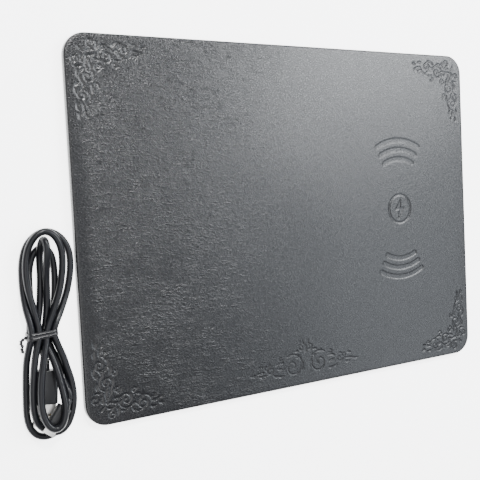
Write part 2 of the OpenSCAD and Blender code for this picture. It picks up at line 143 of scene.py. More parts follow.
PLUG_LEAD = [(1.42, -14.02, 3.2), (0.6, -11, 3.1), (-0.8, -8, 3), (-3.6, -4, 2.9)]
PASSES = {
    "second inner loop": [
        (-5.8, 0, 2.8), (-5.5, 6, 2.6), (-4.7, 20, 1.9), (-4, 34, 1.9), (-1, 43, 1.9),
        (4, 46.4, 1.9), (8.4, 42.8, 1.9), (9.8, 34, 1.9), (9, 20, 1.9), (6.5, 6, 2.6)],
    "outer loop on the table": [
        (5.8, 0, 2.8), (7.4, -5, 2.5), (10.6, -14, 1.9), (13, -25, 1.9), (13.8, -37, 1.9),
        (12.4, -48.5, 1.9), (7.6, -54.8, 1.9), (1, -57.2, 1.9), (-5, -54.4, 1.9),
        (-8.4, -45.6, 1.9), (-8.9, -32, 1.9), (-8.6, -16, 3.6), (-7.2, -6, 5.9)],
    "outer upper loop": [
        (-5.8, 0, 6.65), (-5.9, 6, 6.1), (-7, 15, 3.8), (-7.5, 26, 1.9), (-7.2, 38, 1.9),
        (-4.6, 47.3, 1.9), (0.8, 53.2, 1.9), (7.4, 55, 1.9), (13.8, 52, 1.9),
        (18.2, 45, 1.9), (18.8, 35, 1.9), (16.4, 23, 1.9), (11.4, 12, 4), (7.3, 5, 6.2)],
    "outer loop on top": [
        (5.8, 0, 6.65), (7, -5, 6.4), (9.8, -15, 5.8), (12.4, -28, 5.7), (12.8, -39, 5.7),
        (9.4, -49.6, 5.7), (3.2, -53.8, 5.7), (-3, -51.4, 6), (-6.6, -43.6, 7),
        (-7.2, -31, 7.7), (-5.6, -16, 7.3), (-3.4, -6, 6.8)],
    "top loop": [
        (-1.93, 0, 6.65), (-2.4, 6, 6.6), (-4.2, 15, 6.2), (-6.2, 26, 5.7), (-6.6, 37, 5.7),
        (-4.6, 46.5, 5.7), (-0.2, 53, 5.7), (5.2, 55.2, 5.7), (10.2, 52.2, 5.7),
        (13.2, 45, 5.7), (13.2, 35, 5.7), (10.8, 23, 5.8), (6.4, 12, 6.4), (3.4, 5, 6.6)],
    "inner lower loop": [
        (1.93, 0, 6.65), (1.2, -5, 7), (-0.8, -12, 8.6), (-3.2, -22, 10.3), (-4.4, -32, 11.1),
        (-4.2, -41, 11.8), (-2, -47.6, 12.4), (1.8, -50.6, 12.6), (5.8, -48.2, 12.4),
        (8, -41, 11.6), (7.6, -31, 10), (5.6, -18, 7.6), (3, -8, 4.6)],
    "small inner fold": [
        (-1.93, 0, 2.8), (-1.4, 6, 2.6), (0.5, 16, 1.9), (1.6, 30, 1.9), (1.4, 39, 2.6),
        (1.4, 46, 5), (2, 50.6, 8.4), (2.8, 51, 11.2), (3.4, 46, 12.2), (3.4, 39, 10.4),
        (3.6, 30, 7.4), (3.8, 17, 5), (3, 7, 3.4)],
    "small plug's lead": [
        (1.93, 0, 2.8), (3.4, -5, 2.5), (6.4, -12, 2), (8.8, -17, 2), (10.2, -22, 2.4),
        (11, -26, 4), (11.4, -30, 6.6), (11.9, -33.5, 8.5), (11.67, -36.85, 8.9)],
}
for title, points in PASSES.items():
    print(title, "-", len(points), "points")

# %% [markdown]
# The given points cross each other here and there, as two strands can't. So the curve is
# sampled evenly and settled: every point keeps its distance to the next, strands push each
# other apart to one diameter, nothing sinks into the table or the plugs, and a weak pull keeps
# the shape. Every shift is shared out along the strand, as a stiff cable does, so it stays
# smooth. The same numbers come out each time, because nothing in it is random.

# %% Settle the cable
STEP = 2.0
PLUG_AT, PLUG_TURN = (0.9, -20, 3.2), -5
SMALL_AT, SMALL_TURN = (8.9, -40.4, 8.9), -38
LARGE_GRIP_ROOM = ((-7, -18.5, -3), (7, 0, 3.1))
LARGE_SHELL_ROOM = ((-6, -30, -3), (6, -18.5, 2.25))
SMALL_PLUG_ROOM = ((-4.03, -17, -2.5), (4.03, 0, 2.5))
NEIGHBOURS = 5
FREE = slice(6, -8)
WAIST_HALF, WAIST_PULL, LOOSE_PULL = 2.5, 0.3, 0.004
PUSH_SHARE, LONGEST_PUSH, STRETCH_SHARE = 0.3, 0.5, 0.45


def even_points(points, step):
    points = np.array(points, float)
    ends = np.vstack([2 * points[0] - points[1], points, 2 * points[-1] - points[-2]])
    line = []
    for a, b, c, d in zip(ends, ends[1:], ends[2:], ends[3:]):
        for t in np.linspace(0, 1, 12, endpoint=False):
            line.append(0.5 * (2 * b + (c - a) * t + (2 * a - 5 * b + 4 * c - d) * t ** 2
                               + (3 * b - a - 3 * c + d) * t ** 3))
    line = np.array(line + [points[-1]])
    along = np.r_[0, np.cumsum(np.linalg.norm(np.diff(line, axis=0), axis=1))]
    places = np.linspace(0, along[-1], int(round(along[-1] / step)) + 1)
    return np.stack([np.interp(places, along, line[:, k]) for k in range(3)], axis=1)


def keep_off(path, at, turn_degrees, low, high):
    c, s = math.cos(math.radians(turn_degrees)), math.sin(math.radians(turn_degrees))
    spin = np.array([[c, -s, 0], [s, c, 0], [0, 0, 1]])
    local = (path - np.array(at)) @ spin
    r = CORD_D / 2
    low, high = np.array(low) - r, np.array(high) + r
    inside = np.all((local > low) & (local < high), axis=1)
    for i in np.nonzero(inside)[0]:
        p = local[i]
        moves = [(p[0] - low[0], 0, low[0]), (high[0] - p[0], 0, high[0]),
                 (high[2] - p[2], 2, high[2])]
        gap, axis, target = min(moves)
        p[axis] += 0.5 * (target - p[axis])
    return local @ spin.T + np.array(at)


def settle(path, rounds):
    home = path.copy()
    rest = np.linalg.norm(np.diff(path, axis=0), axis=1)
    i, j = np.triu_indices(len(path), NEIGHBOURS)
    at_waist = np.abs(home[:, 1]) < WAIST_HALF
    pull = np.where(at_waist, WAIST_PULL, LOOSE_PULL)[:, None]
    for _ in range(rounds):
        gap = path[i] - path[j]
        away = np.linalg.norm(gap, axis=1) + 1e-9
        near = away < CORD_D
        push = gap[near] * (PUSH_SHARE * (CORD_D - away[near]) / away[near])[:, None]
        move = np.zeros_like(path)
        np.add.at(move, i[near], push)
        np.add.at(move, j[near], -push)
        path = path + np.clip(move, -LONGEST_PUSH, LONGEST_PUSH)
        free = keep_off(path[FREE], PLUG_AT, PLUG_TURN, *LARGE_GRIP_ROOM)
        free = keep_off(free, PLUG_AT, PLUG_TURN, *LARGE_SHELL_ROOM)
        path[FREE] = keep_off(free, SMALL_AT, SMALL_TURN, *SMALL_PLUG_ROOM)
        path[:, 2] = np.maximum(path[:, 2], CORD_D / 2)
        shift = path - home
        for _ in range(4):
            shift[1:-1] += 0.5 * ((shift[:-2] + shift[2:]) / 2 - shift[1:-1])
        path = home + shift * (1 - pull)
        for _ in range(2):
            step = np.diff(path, axis=0)
            length = np.linalg.norm(step, axis=1)
            fix = step * (STRETCH_SHARE * (length - rest) / length)[:, None]
            path[:-1] += fix
            path[1:] -= fix
        path[:3], path[-3:] = home[:3], home[-3:]
    path[:, 2] = np.maximum(path[:, 2], CORD_D / 2)
    return path


route = even_points(PLUG_LEAD + [p for points in PASSES.values() for p in points], STEP)
route = settle(route, 240)
pairs = np.linalg.norm(route[:, None] - route[None], axis=2)
places = np.arange(len(route))
pairs[np.abs(np.subtract.outer(places, places)) < NEIGHBOURS] = np.inf

# %% [markdown]
# A curve with a round bevel is the plainest good cable. It is turned into a mesh when it is
# done, and the points that it follows are kept, so that its length can be measured.

# %% Cable
start_fresh()
line = bpy.data.curves.new("charging_cable", "CURVE")
line.dimensions = "3D"
spline = line.splines.new("NURBS")
spline.points.add(len(route) - 1)
cable_path = [(HANK.x + x * MM, HANK.y + y * MM, z * MM) for x, y, z in route]
for point, spot in zip(spline.points, cable_path):
    point.co = (*spot, 1)
spline.order_u = 4
spline.use_endpoint_u = True
spline.resolution_u = 3
line.bevel_depth = CORD_D / 2 * MM
line.bevel_resolution = 5
line.use_fill_caps = True
cable = bpy.data.objects.new("charging_cable", line)
bpy.context.scene.collection.objects.link(cable)
cable.select_set(True)
bpy.context.view_layer.objects.active = cable
bpy.ops.object.convert(target="MESH")
cable = bpy.context.object
smooth(cable, 60)
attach(cable, "cable")
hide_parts("cable_hank", "usb_lead", "micro_lead")
print("cable made of", len(route), "points and", len(cable.data.polygons), "faces")

# %% [markdown]
# ## The two plugs
# Each grip is a soft-edged block moulded round the plug, with a tapering ribbed neck that keeps
# the cable from bending sharply. A cube is given its size, and its edges are bevelled into the
# rounded section. The neck is a cylinder cut into rings by bisecting, because the rings can
# then be shrunk in turn into ribs and taper, which one extrusion couldn't do.

# %% Grips of the plugs
NECK_RINGS, GROOVE_SIZE, NECK_TAPER = 6, 0.9, 0.16


def place_in_hank(piece, at, turn_degrees):
    spin = Matrix.Rotation(math.radians(turn_degrees), 4, "Z")
    piece.data.transform(Matrix.Translation(HANK + Vector(at) * MM) @ spin)
    piece.data.update()


def make_grip(name, width, length, height, roundness, neck_d, neck_length, at, turn_degrees):
    start_fresh()
    bpy.ops.mesh.primitive_cube_add(size=1, location=(0, 0, 0))
    grip = named(name)
    grip.data.transform(Matrix.Diagonal((width * MM, length * MM, height * MM, 1)))
    grip.data.transform(Matrix.Translation((0, -length / 2 * MM, 0)))
    select_where(grip, "EDGE", lambda e: edge_along(e, 1))
    bpy.ops.mesh.bevel(offset=roundness * MM, segments=6, affect="EDGES")
    ends = (0, -length * MM)
    select_where(grip, "EDGE", lambda e: min(abs(e.verts[0].co.y - y) + abs(e.verts[1].co.y - y)
                                             for y in ends) < 1e-6)
    bpy.ops.mesh.bevel(offset=0.5 * MM, segments=3, affect="EDGES")
    bpy.ops.object.mode_set(mode="OBJECT")
    bpy.ops.mesh.primitive_cylinder_add(vertices=32, radius=neck_d / 2 * MM,
                                        depth=neck_length * MM, rotation=(math.pi / 2, 0, 0),
                                        location=(0, neck_length / 2 * MM, 0))
    neck = named(name + "_neck")
    bpy.ops.object.transform_apply(location=True, rotation=True, scale=True)
    for k in range(1, NECK_RINGS):
        select_where(neck, "VERT", lambda v: True)
        bpy.ops.mesh.bisect(plane_co=(0, neck_length * k / NECK_RINGS * MM, 0),
                            plane_no=(0, 1, 0))
    bpy.ops.object.mode_set(mode="OBJECT")
    for v in neck.data.vertices:
        share = v.co.y / (neck_length * MM)
        groove = GROOVE_SIZE if round(share * NECK_RINGS) % 2 and share < 0.99 else 1.0
        taper = (1 - NECK_TAPER * share) * groove
        v.co.x *= taper
        v.co.z *= taper
    bevel = neck.modifiers.new("soft rings", "BEVEL")
    bevel.width, bevel.segments = 0.12 * MM, 2
    apply_modifiers(neck)
    bpy.ops.object.select_all(action="DESELECT")
    neck.select_set(True)
    grip.select_set(True)
    bpy.context.view_layer.objects.active = grip
    bpy.ops.object.join()
    place_in_hank(grip, at, turn_degrees)
    smooth(grip, 40)
    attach(grip, "cable")
    return grip


large_grip = make_grip("large_grip", 14, 18.5, 6.2, 2, 5, 6, PLUG_AT, PLUG_TURN)
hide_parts("usb_plug_grip")
small_grip = make_grip("small_grip", 8.05, 12, 5, 1.6, 4.6, 4.5, SMALL_AT, SMALL_TURN)
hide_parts("micro_plug_grip")
print("grips:", len(large_grip.data.polygons), "and", len(small_grip.data.polygons), "faces")

# %% [markdown]
# The shells are folded from thin sheet, so their corners are rounded and both ends show the
# sheet's edge. The faces at the two ends are deleted, the walls get their thickness from
# Solidify, and the two square windows of the large one are cut through with Boolean.

# %% Shells of the plugs
def make_shell(name, width, length, height, wall, roundness, low_corner_cut, start):
    start_fresh()
    bpy.ops.mesh.primitive_cube_add(size=1, location=(0, 0, 0))
    shell = named(name)
    shell.data.transform(Matrix.Diagonal((width * MM, length * MM, height * MM, 1)))
    shell.data.transform(Matrix.Translation((0, (start - length / 2) * MM, 0)))
    if low_corner_cut:
        select_where(shell, "EDGE", lambda e: edge_along(e, 1) and e.verts[0].co.z < 0)
        bpy.ops.mesh.bevel(offset=low_corner_cut * MM, segments=1, affect="EDGES")
    select_where(shell, "EDGE", lambda e: edge_along(e, 1))
    bpy.ops.mesh.bevel(offset=roundness * MM, segments=4, affect="EDGES")
    select_where(shell, "FACE", lambda f: abs(f.normal.y) > 0.9)
    bpy.ops.mesh.delete(type="FACE")
    bpy.ops.object.mode_set(mode="OBJECT")
    sheet = shell.modifiers.new("sheet", "SOLIDIFY")
    sheet.thickness, sheet.offset = wall * MM, -1
    apply_modifiers(shell)
    return shell


large_shell = make_shell("large_shell", 12, 18.2, 4.5, 0.3, 0.6, 0, -11.8)
for side in (-1, 1):
    start_fresh()
    bpy.ops.mesh.primitive_cube_add(size=1, location=(side * 2.9 * MM, -24.8 * MM, 0),
                                    scale=(2.5 * MM, 2.2 * MM, 9 * MM))
    punch = named("punch")
    cut = large_shell.modifiers.new("window", "BOOLEAN")
    cut.object, cut.operation, cut.solver = punch, "DIFFERENCE", "EXACT"
    apply_modifiers(large_shell)
    bpy.data.objects.remove(punch)
small_shell = make_shell("small_shell", 6.85, 8, 1.8, 0.25, 0.3, 0.7, -9)
for shell, at, turn_degrees, node in ((large_shell, PLUG_AT, PLUG_TURN, "usb_plug_shell"),
                                      (small_shell, SMALL_AT, SMALL_TURN, "micro_plug_shell")):
    place_in_hank(shell, at, turn_degrees)
    smooth(shell, 35)
    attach(shell, "cable")
    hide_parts(node)
print("shells:", len(large_shell.data.polygons), "and", len(small_shell.data.polygons), "faces")

# %% [markdown]
# ## The twist tie
# The tie is a plastic ribbon over a thin wire, so its section is flat with a ridge in the
# middle. It goes twice round the waist, and its two ends are twisted together at the left.
# A section swept along a path makes both: the path for the wraps is a slightly tilted rounded
# box, and the twisted ends turn their section as they go.

# %% Twist tie
def sweep(name, path, section, turns=0.0, closed=False, sizes=None):
    path = [Vector(p) for p in path]
    count, n = len(path), len(section)
    points, faces = [], []
    for k, here in enumerate(path):
        ahead = path[(k + 1) % count] if closed else path[min(k + 1, count - 1)]
        behind = path[k - 1] if closed else path[max(k - 1, 0)]
        along = (ahead - behind).normalized()
        flat = along.cross(Vector((0, 1, 0)) if closed else Vector((0, 0, 1))).normalized()
        wide = flat.cross(along).normalized()
        angle = 2 * math.pi * turns * k / max(count - 1, 1)
        size = sizes[k] if sizes else 1
        for a, b in section:
            p = size * (a * math.cos(angle) - b * math.sin(angle))
            q = size * (a * math.sin(angle) + b * math.cos(angle))
            points.append(HANK + (here + wide * p + flat * q) * MM)
    for k in range(count if closed else count - 1):
        m = (k + 1) % count
        for j in range(n):
            faces.append((k * n + j, k * n + (j + 1) % n, m * n + (j + 1) % n, m * n + j))
    if not closed:
        faces += [tuple(range(n)), tuple((count - 1) * n + j for j in reversed(range(n)))]
    mesh = bpy.data.meshes.new(name)
    mesh.from_pydata(points, [], faces)
    piece = bpy.data.objects.new(name, mesh)
    bpy.context.scene.collection.objects.link(piece)
    start_fresh()
    piece.select_set(True)
    bpy.context.view_layer.objects.active = piece
    bpy.ops.object.mode_set(mode="EDIT")
    bpy.ops.mesh.select_all(action="SELECT")
    bpy.ops.mesh.normals_make_consistent(inside=False)
    bpy.ops.object.mode_set(mode="OBJECT")
    return piece


TIE_MIDDLE_Z = 4.7
RIBBON = [(-1.05, -0.2), (-0.35, -0.24), (0, -0.42), (0.35, -0.24), (1.05, -0.2), (1.05, 0.2),
          (0.35, 0.24), (0, 0.42), (-0.35, 0.24), (-1.05, 0.2)]
TWISTED = [(math.cos(a) * (0.62 + 0.4 * abs(math.cos(a))), math.sin(a) * 0.5)
           for a in np.linspace(0, 2 * math.pi, 12, endpoint=False)]


def wrap(along, tilt, looseness):
    ring = []
    half_w, half_h, r = 8.15 + looseness, 4.2 + looseness, 2.8
    for corner, (x, z) in enumerate(((1, 1), (-1, 1), (-1, -1), (1, -1))):
        for a in np.linspace(0, math.pi / 2, 7):
            angle = corner * math.pi / 2 + a
            px = x * (half_w - r) + r * math.cos(angle)
            pz = z * (half_h - r) + r * math.sin(angle)
            ring.append((px, along + tilt * px, pz + TIE_MIDDLE_Z))
    return ring


tie_pieces = [sweep("tie_wrap_far", wrap(0.9, 0.05, 0), RIBBON, closed=True),
              sweep("tie_wrap_near", wrap(-0.9, 0.09, 0.1), RIBBON, closed=True)]
tail_path = even_points([(-8, -0.6, 5.2), (-9.6, -1.2, 5), (-11, -2.4, 3.8), (-11, -4.4, 2.6),
                         (-10.2, -6, 2.2), (-10.6, -7.8, 1.8), (-9.8, -9.4, 1.4)], 0.35)
tie_pieces.append(sweep("tie_tail", [tuple(p) for p in tail_path], TWISTED, turns=3.5))
start_fresh()
for piece in tie_pieces:
    piece.select_set(True)
bpy.context.view_layer.objects.active = tie_pieces[0]
bpy.ops.object.join()
tie = named("cable_tie")
smooth(tie, 50)
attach(tie, "cable")
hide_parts("twist_tie")
print("tie:", len(tie.data.polygons), "faces")

on_the_cable = [large_grip, large_shell, small_grip, small_shell, tie]
on_the_cable += [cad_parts[n] for n in ("usb_plug_tongue", "usb_plug_contacts",
                 "micro_plug_tongue", "micro_plug_contacts", "micro_plug_latches")]

# %% [markdown]
# ## The leather skin
# One sheet of leather covers the board, wraps its edge and is turned under it. The flat top is
# a grid whose corner cells are bent onto a quarter circle, so the grid's outline becomes the
# mat's rounded outline. The edge is then extruded ring by ring: round the upper edge, down the
# wall, under the board, and back inside, which closes the skin.

# %% Skin: the grid and its corners
pad_low, pad_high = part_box("top_cover")
HALF_L, HALF_W = pad_high[0] * 1000, pad_high[1] * 1000
TOP_Z = pad_high[2] * 1000
UNDER_Z = pad_low[2] * 1000
CORNER, EDGE, HEM, SKIN = 13.0, 1.2, 9.0, 0.7
CORE_X, CORE_Y = HALF_L - CORNER, HALF_W - CORNER
CELL = 1.7

start_fresh()
flat_l, flat_w = 2 * (HALF_L - EDGE), 2 * (HALF_W - EDGE)
bpy.ops.mesh.primitive_grid_add(x_subdivisions=round(flat_l / CELL),
                                y_subdivisions=round(flat_w / CELL), size=1)
skin = named("leather_skin")
skin.data.transform(Matrix.Diagonal((flat_l * MM, flat_w * MM, 1, 1)))
skin.data.transform(Matrix.Translation((0, 0, TOP_Z * MM)))


def get_points(piece):
    flat = np.empty(len(piece.data.vertices) * 3)
    piece.data.vertices.foreach_get("co", flat)
    return flat.reshape(-1, 3) / MM


def set_points(piece, points):
    piece.data.vertices.foreach_set("co", (points * MM).ravel())
    piece.data.update()


points = get_points(skin)
beyond = np.abs(points[:, :2]) - (CORE_X, CORE_Y)
corner = np.all(beyond > 0, axis=1)
reach = beyond[corner].max(axis=1)
angle = np.arctan2(beyond[corner, 1], beyond[corner, 0])
bent = np.stack([CORE_X + reach * np.cos(angle), CORE_Y + reach * np.sin(angle)], axis=1)
points[corner, :2] = np.sign(points[corner, :2]) * bent
set_points(skin, points)
print("grid:", len(skin.data.polygons), "cells, corner points", int(corner.sum()))

# %% [markdown]
# The edge of the real leather is wrapped round the board and glued beneath it. Here the rim of
# the grid is extruded once for each point of the edge's outline, and each new ring is moved to
# its place. That gives even faces round the corners, which a Bevel modifier wouldn't.

# %% Skin: the edge, the hem and the inside
def ring_place(outward, z):
    spots = get_points(skin)
    chosen = np.array([v.select for v in skin.data.vertices])
    ring = spots[chosen]
    core = np.clip(ring[:, :2], (-CORE_X, -CORE_Y), (CORE_X, CORE_Y))
    away = ring[:, :2] - core
    away /= np.linalg.norm(away, axis=1)[:, None]
    ring[:, :2] = core + away * (CORNER + outward)
    ring[:, 2] = z
    spots[chosen] = ring
    set_points(skin, spots)


LOW_EDGE = 0.45
profile = [(-EDGE + EDGE * math.sin(a), TOP_Z - EDGE + EDGE * math.cos(a))
           for a in np.linspace(0, math.pi / 2, 7)[1:]]
profile += [(0, z) for z in (3.0, 2.2, 1.4)]
profile += [(-LOW_EDGE + LOW_EDGE * math.cos(a), UNDER_Z + LOW_EDGE - LOW_EDGE * math.sin(a))
            for a in np.linspace(0, math.pi / 2, 4)]
profile += [(-4, UNDER_Z), (-HEM, UNDER_Z), (-HEM, UNDER_Z + SKIN), (-SKIN, UNDER_Z + SKIN),
            (-SKIN, TOP_Z - EDGE), (-EDGE, TOP_Z - SKIN)]
start_fresh()
skin.select_set(True)
bpy.context.view_layer.objects.active = skin
select_where(skin, "EDGE", lambda e: e.is_boundary)
for outward, z in profile:
    bpy.ops.object.mode_set(mode="EDIT")
    bpy.ops.mesh.extrude_edges_move()
    bpy.ops.object.mode_set(mode="OBJECT")
    ring_place(outward, z)
bpy.ops.object.mode_set(mode="EDIT")
bpy.ops.mesh.edge_face_add()
bpy.ops.mesh.select_all(action="SELECT")
bpy.ops.mesh.normals_make_consistent(inside=False)
bpy.ops.object.mode_set(mode="OBJECT")
print("skin with its edge:", len(skin.data.polygons), "faces")

# %% [markdown]
# The socket opens in the far edge, so the leather has a cut there. A rounded block is taken
# away with Boolean, in the place and a little more than the size of the socket's bezel.

# %% Skin: the cut for the socket
CUT_SIZE, CUT_ROUNDNESS = (10.5, 5, 3.2), 0.7
bezel_low, bezel_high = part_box("port_bezel")
start_fresh()
middle_x = (bezel_low[0] + bezel_high[0]) / 2
socket_low, socket_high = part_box("usb_socket_shell")
middle_z = (socket_low[2] + socket_high[2]) / 2
bpy.ops.mesh.primitive_cube_add(size=1, location=(middle_x, HALF_W * MM, middle_z),
                                scale=tuple(side * MM for side in CUT_SIZE))
cutter = named("socket_cut")
bpy.ops.object.transform_apply(location=True, rotation=True, scale=True)
select_where(cutter, "EDGE", lambda e: edge_along(e, 1))
bpy.ops.mesh.bevel(offset=CUT_ROUNDNESS * MM, segments=4, affect="EDGES")
bpy.ops.object.mode_set(mode="OBJECT")
opening = skin.modifiers.new("socket", "BOOLEAN")
opening.object, opening.operation, opening.solver = cutter, "DIFFERENCE", "EXACT"
apply_modifiers(skin)
bpy.data.objects.remove(cutter)
print("skin with the socket's cut:", len(skin.data.polygons), "faces")

# %% [markdown]
# ## Pressed decoration
# Scrollwork is pressed into the four corners and the middle of the lower edge. It is made of
# two strokes only: a spiral and a tapering leaf. Each is a row of spots with a half width. One
# corner's strokes are written once and mirrored into the others, as the press tool would be.

# %% Strokes of the scrollwork
def spiral(cx, cy, r0, r1, a0, a1, w0=0.3, w1=0.55):
    n = max(8, int(abs(a1 - a0) / 360 * 2 * math.pi * (r0 + r1) / 2 / 0.3))
    row = []
    for k in range(n + 1):
        t = k / n
        a = math.radians(a0 + (a1 - a0) * t)
        r = r0 + (r1 - r0) * t
        row.append((cx + r * math.cos(a), cy + r * math.sin(a), w0 + (w1 - w0) * t))
    return row


def leaf(x, y, angle, length, width, bend=0.0):
    row = []
    n = max(6, int(length / 0.3))
    a = math.radians(angle)
    for k in range(n + 1):
        t = k / n
        row.append((x, y, 0.25 + width * math.sin(math.pi * t ** 0.7)))
        x += length / n * math.cos(a)
        y += length / n * math.sin(a)
        a += math.radians(bend) / n
    return row


def both_ways(strokes):
    return strokes + [[(y, x, w) for x, y, w in stroke] for stroke in strokes]


CORNER_STROKES = both_ways([
    spiral(15.5, 5.6, 0.5, 2.6, 100, -260),
    spiral(24.2, 12.9, 0.5, 3.6, 60, 500),
    spiral(24.2, 12.9, 4.6, 5.0, 150, 330),
    spiral(34.6, 9.2, 0.6, 3.7, 200, -260),
    spiral(34.8, 9.0, 4.7, 5.1, 160, 20),
    spiral(29.2, 17.4, 0.3, 1.7, 0, -330),
    spiral(19.4, 18.6, 0.3, 1.6, 90, 400),
    spiral(41.2, 12.9, 0.3, 1.4, 180, -150),
    leaf(11.6, 12.6, 8, 7.0, 0.5, -40),
    leaf(12.4, 10.2, -35, 4.6, 0.45, 60),
    leaf(16.8, 14.2, 30, 5.6, 0.5, -60),
    leaf(17.6, 12.2, -10, 4.2, 0.45, 50),
    leaf(18.4, 9.2, -60, 4.4, 0.45, -60),
    leaf(20.6, 7.2, -20, 4.6, 0.45, 50),
    leaf(27.6, 7.6, -70, 3.6, 0.45, 60),
    leaf(28.6, 10.2, -10, 3.4, 0.4, -50),
    leaf(28.8, 14.8, 25, 5.4, 0.45, -70),
    leaf(30.2, 5.0, 5, 5.2, 0.4, 30),
    leaf(38.8, 6.4, -25, 4.2, 0.45, 50),
    leaf(39.4, 9.4, 5, 7.4, 0.6, 16),
    leaf(39.6, 11.2, 35, 4.0, 0.4, -60),
    leaf(44.4, 7.6, -20, 3.4, 0.4, 20),
    leaf(8.2, 8.2, 45, 3.6, 0.45, 0),
])
MIDDLE_HALF = [
    spiral(10.5, 13.3, 0.8, 6.4, 250, -200),
    spiral(10.6, 13.2, 7.6, 7.9, 200, 60),
    spiral(27.4, 13.6, 0.5, 3.4, 20, 440),
    spiral(3.4, 25.2, 0.4, 2.3, 200, -120),
    spiral(31.0, 15.6, 0.3, 1.8, 200, -160),
    spiral(19.6, 19.8, 0.3, 1.7, 180, -140),
    leaf(0.5, 21.4, 88, 5.4, 0.6, 14),
    leaf(1.4, 26.6, 60, 3.2, 0.4, 30),
    leaf(5.6, 22.6, 20, 3.6, 0.45, -60),
    leaf(4.6, 19.4, -30, 3.4, 0.4, 40),
    leaf(17.6, 16.6, 20, 6.4, 0.5, -60),
    leaf(18.4, 12.8, 0, 4.6, 0.45, 30),
    leaf(17.8, 8.6, -20, 6.2, 0.5, 60),
    leaf(22.6, 8.2, 10, 4.0, 0.4, 50),
    leaf(31.4, 10.8, -25, 5.2, 0.5, 50),
    leaf(32.4, 12.8, 0, 6.4, 0.5, -10),
    leaf(33.4, 16.4, 10, 4.4, 0.4, -50),
    leaf(38.2, 11.8, -5, 5.0, 0.5, 10),
]
strokes = []
for sx in (-1, 1):
    for sy in (-1, 1):
        strokes += [[(sx * (HALF_L - a), sy * (HALF_W - b), w) for a, b, w in s]
                    for s in CORNER_STROKES]
    strokes += [[(sx * a, b - HALF_W, w) for a, b, w in s] for s in MIDDLE_HALF]
spots = [spot for stroke in strokes for spot in stroke]
tree = kdtree.KDTree(len(spots))
for k, (x, y, w) in enumerate(spots):
    tree.insert((x, y, 0), k)
tree.balance()
print("scrollwork:", len(strokes), "strokes,", len(spots), "spots")

# %% [markdown]
# Over the coil there are three arcs above and three below a plain mark: a bolt in a ring.
# Their places come from the coil. All pressed shapes are given as a distance: how far a point
# of the leather is inside the mark's outline, which says how deep it is pressed.

# %% Marks over the coil
coil_low, coil_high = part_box("ferrite_shield")
COIL_X = (coil_low[0] + coil_high[0]) / 2 * 1000
COIL_Y = (coil_low[1] + coil_high[1]) / 2 * 1000
ARC_RADII, ARC_SHIFT, ARC_HALF, ARC_W = (27, 33.5, 40), 8, 28, 3.2
RING_R, RING_W = 10.5, 1.4
BOLT = np.array([(1.6, 7.6), (-4.4, -0.9), (-0.6, -0.9), (-1.6, -7.6), (4.4, 0.9), (0.6, 0.9)])


def outline_distance(p, outline):
    inside = np.zeros(len(p), bool)
    best = np.full(len(p), 1e9)
    for a, b in zip(outline, np.roll(outline, -1, axis=0)):
        t = np.clip(((p - a) @ (b - a)) / ((b - a) @ (b - a)), 0, 1)
        best = np.minimum(best, np.linalg.norm(p - a - t[:, None] * (b - a), axis=1))
        crosses = (a[1] > p[:, 1]) != (b[1] > p[:, 1])
        with np.errstate(divide="ignore", invalid="ignore"):
            side = (b[0] - a[0]) * (p[:, 1] - a[1]) / (b[1] - a[1]) + a[0]
        inside ^= crosses & (p[:, 0] < side)
    return np.where(inside, -best, best)


def mark_distance(xy):
    p = xy - (COIL_X, COIL_Y)
    r = np.linalg.norm(p, axis=1)
    best = np.maximum(RING_R - RING_W - r, r - RING_R)
    best = np.minimum(best, outline_distance(p, BOLT))
    limit = math.radians(ARC_HALF)
    for side in (1, -1):
        q = np.stack([p[:, 0], side * p[:, 1] - ARC_SHIFT], axis=1)
        angle = np.clip(np.arctan2(q[:, 0], q[:, 1]), -limit, limit)
        for radius in ARC_RADII:
            spine = radius * np.stack([np.sin(angle), np.cos(angle)], axis=1)
            best = np.minimum(best, np.linalg.norm(q - spine, axis=1) - ARC_W / 2)
    return best


def pressed(distance, wall):
    t = np.clip(0.5 - distance / wall, 0, 1)
    return t * t * (3 - 2 * t)


print("marks are centred at", round(COIL_X, 1), round(COIL_Y, 1), "mm")

# %% [markdown]
# The cells near a mark are subdivided three times finer than the rest, so that the walls of
# the grooves are real geometry, while the plain leather stays light.

# %% Refine the leather where it is pressed
CORNER_ZONE, MIDDLE_ZONE, MARK_ZONE = 54, (48, 34), (26, 52)


def near_scrolls(x, y):
    spot, k, gap = tree.find((x, y, 0))
    return gap - spots[k][2]


def wants_detail(face):
    c = face.calc_center_median() / MM
    if c.z < TOP_Z - 0.01 or face.normal.z < 0.9:
        return False
    in_corner = abs(c.x) > HALF_L - CORNER_ZONE and abs(c.y) > HALF_W - CORNER_ZONE
    in_middle = c.y < MIDDLE_ZONE[1] - HALF_W and abs(c.x) < MIDDLE_ZONE[0]
    if (in_corner or in_middle) and near_scrolls(c.x, c.y) < 0.9:
        return True
    if abs(c.x - COIL_X) > MARK_ZONE[0] or abs(c.y - COIL_Y) > MARK_ZONE[1]:
        return False
    return abs(mark_distance(np.array([[c.x, c.y]]))[0]) < 1.5


start_fresh()
skin.select_set(True)
bpy.context.view_layer.objects.active = skin
count = select_where(skin, "FACE", wants_detail)
bpy.ops.mesh.subdivide(number_cuts=3)
bpy.ops.object.mode_set(mode="OBJECT")
print("refined", count, "cells; skin now has", len(skin.data.polygons), "faces")

# %% [markdown]
# The press leaves soft-walled grooves with a faint swelling beside them, and the leather lies
# on its board in very shallow waves. All three are added to the height of the top's points.
# Sculpting by numbers keeps both sides of a mark alike, as the real press does.

